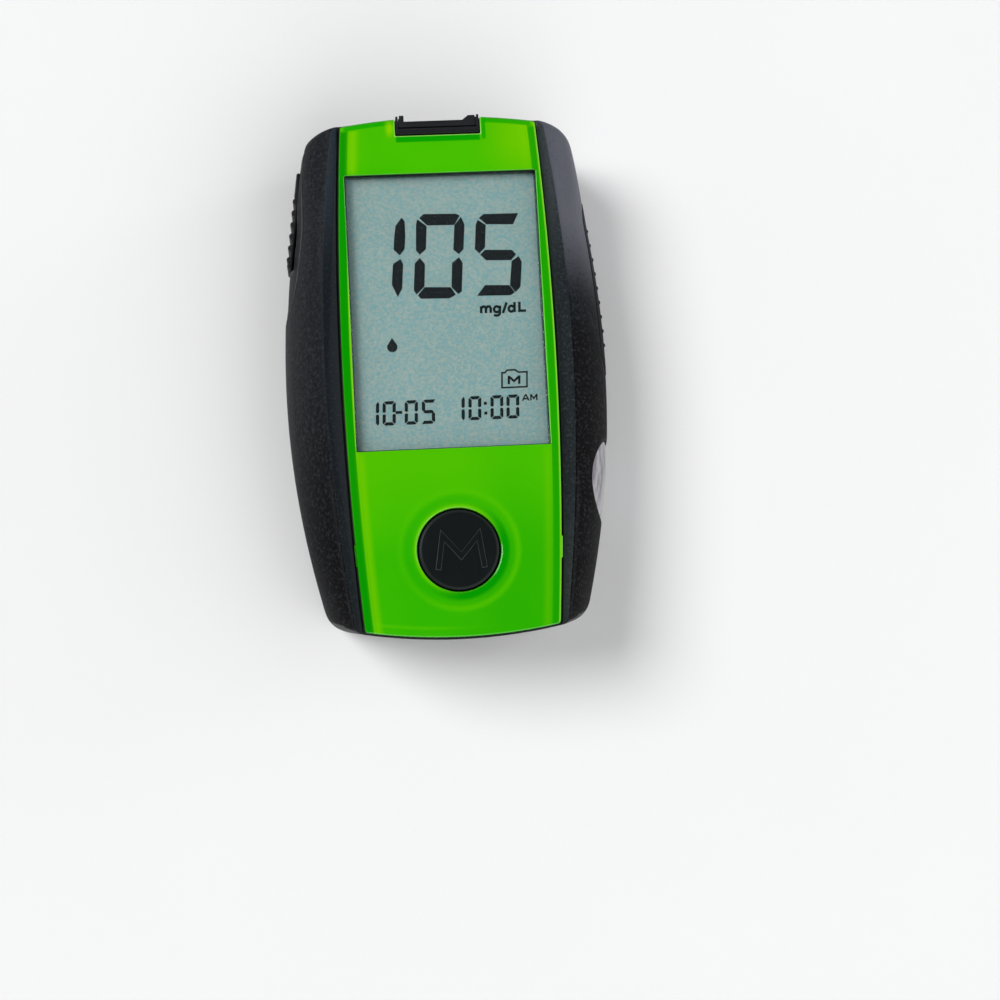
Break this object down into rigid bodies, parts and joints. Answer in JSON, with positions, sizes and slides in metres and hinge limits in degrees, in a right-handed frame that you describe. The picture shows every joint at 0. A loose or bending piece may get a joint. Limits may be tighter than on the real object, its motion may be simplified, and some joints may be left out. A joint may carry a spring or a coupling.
{
  "type": "blood glucose meter",
  "caption": "Handheld blood glucose meter: black two-part shell, glossy green fascia with display and round key, strip port at the top, ejector slide, side key, battery door.",
  "frame": {"origin": "centre of the outline on the plane of the flat back", "axes": "+Z out of the display, +Y towards the test strip port, +X to the right as the display is read"},
  "size_m": [0.0601, 0.0962, 0.026],
  "materials": {
    "shell_black": "fine grained moulded black",
    "key_black": "satin black",
    "grip_black": "soft matte black",
    "fascia_green": "glossy clear acrylic printed green on its back",
    "window_clear": "clear acrylic",
    "display": "grey-green reflective liquid crystal display",
    "tray_white": "white moulded",
    "chrome": "bright plated plastic",
    "board": "green circuit board",
    "chip": "black moulded package",
    "steel": "nickel plated",
    "gold": "gold plated",
    "elastomer": "layered grey elastomer",
    "cell_jacket": "plain dark blue film over a steel can",
    "nylon": "ivory moulded"
  },
  "bodies": {
    "root": {"front_case": "shell_black", "rear_case": "shell_black", "left_side_panel": "shell_black", "strip_port": "key_black", "right_grip_pad": "grip_black", "face_plate": "fascia_green", "display_window": "window_clear", "lcd_glass": "display", "lcd_holder": "tray_white", "main_pcb": "board", "microcontroller": "chip", "buzzer": "chip", "main_switch": "chip", "side_switch": "chip", "crystal": "steel", "zebra_connector": "elastomer", "strip_connector": "nylon", "strip_contact_1": "gold", "strip_contact_2": "gold", "strip_contact_3": "gold", "ejector_spring": "steel", "battery_spring_1": "steel", "battery_spring_2": "steel", "battery_terminal_1": "steel", "battery_terminal_2": "steel", "battery_1": "cell_jacket", "battery_2": "cell_jacket", "case_screw_1": "steel", "case_screw_2": "steel", "case_screw_3": "steel", "case_screw_4": "steel"},
    "main_button": {"main_button": "key_black", "main_switch_plunger": "nylon"},
    "side_key": {"side_key": "chrome", "side_switch_plunger": "nylon"},
    "ejector": {"ejector_slider": "shell_black", "ejector_arm": "nylon"},
    "battery_door": {"battery_door": "shell_black"}
  },
  "joints": [
    {"name": "main_button_press", "type": "slide", "parent": "root", "child": "main_button", "axis": [0, 0, -1], "range_m": [0, 0.0005], "stiffness_N_per_m": 2000},
    {"name": "side_key_press", "type": "slide", "parent": "root", "child": "side_key", "axis": [-0.9922, 0.1249, 0], "range_m": [0, 0.0005], "stiffness_N_per_m": 2000},
    {"name": "ejector_slide", "type": "slide", "parent": "root", "child": "ejector", "axis": [0.1412, 0.99, 0], "range_m": [0, 0.0035], "stiffness_N_per_m": 150, "deforming": ["ejector_spring"]},
    {"name": "battery_door_hinge", "type": "hinge", "parent": "root", "child": "battery_door", "pos_m": [0, -0.0442, 0.0003], "axis": [-1, 0, 0], "range_deg": [0, 70]}
  ]
}
